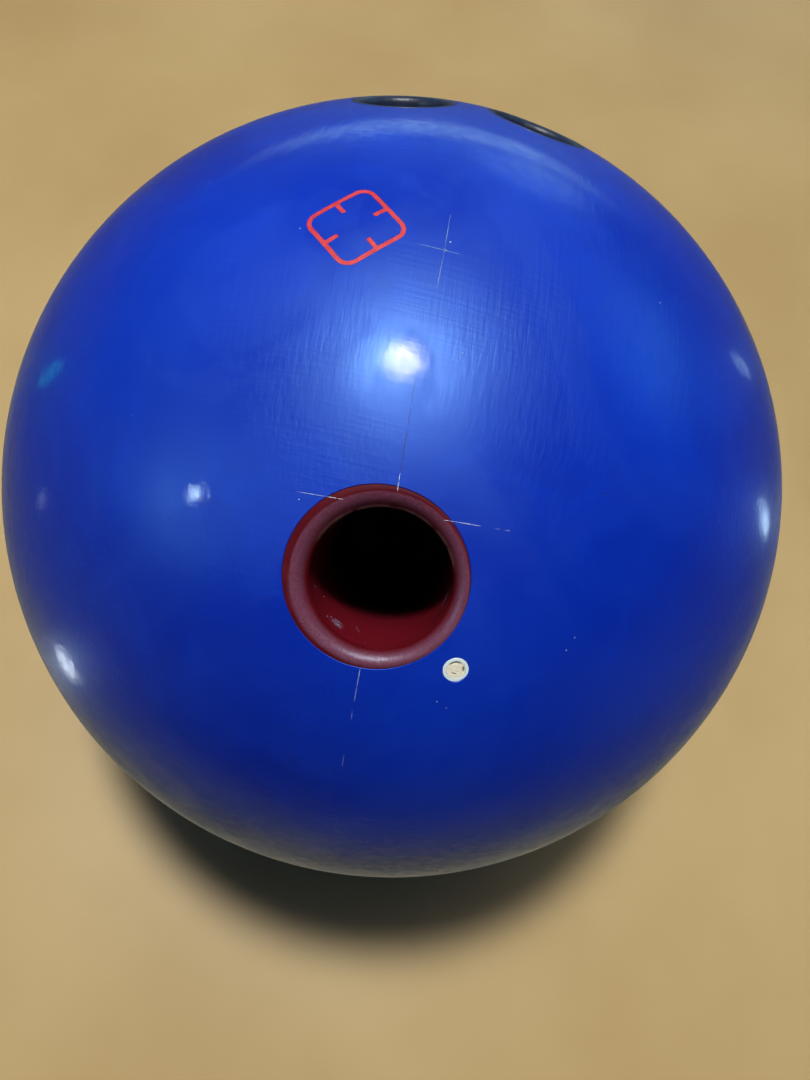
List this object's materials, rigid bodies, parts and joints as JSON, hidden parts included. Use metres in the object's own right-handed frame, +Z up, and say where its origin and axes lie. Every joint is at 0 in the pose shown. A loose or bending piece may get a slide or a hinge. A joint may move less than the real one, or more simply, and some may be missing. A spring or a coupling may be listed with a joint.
{
  "type": "bowling ball",
  "caption": "Drilled ten-pin bowling ball with a thumb slug, two finger inserts, a locator pin, a mass bias pin and an asymmetric weight block inside.",
  "frame": {"origin": "centre of the ball", "axes": "+Z up through the grip centre, midway between the thumb hole and the finger holes; the thumb hole lies towards -Y and the finger holes towards +Y; +X is to the right seen from the thumb's side, so the ring finger's hole is at +X; gravity runs along -Z"},
  "size_m": [0.2172, 0.2172, 0.2172],
  "materials": {
    "polished_blue_coverstock": "deep ultramarine reactive resin, polished to a gloss, with fine lane scratches",
    "cast_filler": "light grey cast filler",
    "dense_core_resin": "dense cast core resin",
    "heavy_flip_block": "barium-loaded dark resin",
    "pin_resin": "translucent yellow resin, polished flush",
    "white_pin_resin": "white resin, polished flush",
    "cream_pin_resin": "cream resin with worn brown edges",
    "maroon_thumb_slug": "dark maroon urethane, sanded inside and rounded at the mouth",
    "navy_vinyl_insert": "soft dark navy vinyl",
    "red_marking_fill": "light red marking resin, polished flush"
  },
  "bodies": {
    "root": {"coverstock": "polished_blue_coverstock", "filler_core": "cast_filler", "weight_block_bulb": "dense_core_resin", "weight_block_cap": "dense_core_resin", "flip_block_left": "heavy_flip_block", "flip_block_right": "heavy_flip_block", "locator_pin": "pin_resin", "mass_bias_pin_sleeve": "white_pin_resin", "mass_bias_pin_plug": "cream_pin_resin", "thumb_slug": "maroon_thumb_slug", "middle_finger_insert": "navy_vinyl_insert", "ring_finger_insert": "navy_vinyl_insert", "mark_inlay": "red_marking_fill"}
  },
  "joints": []
}
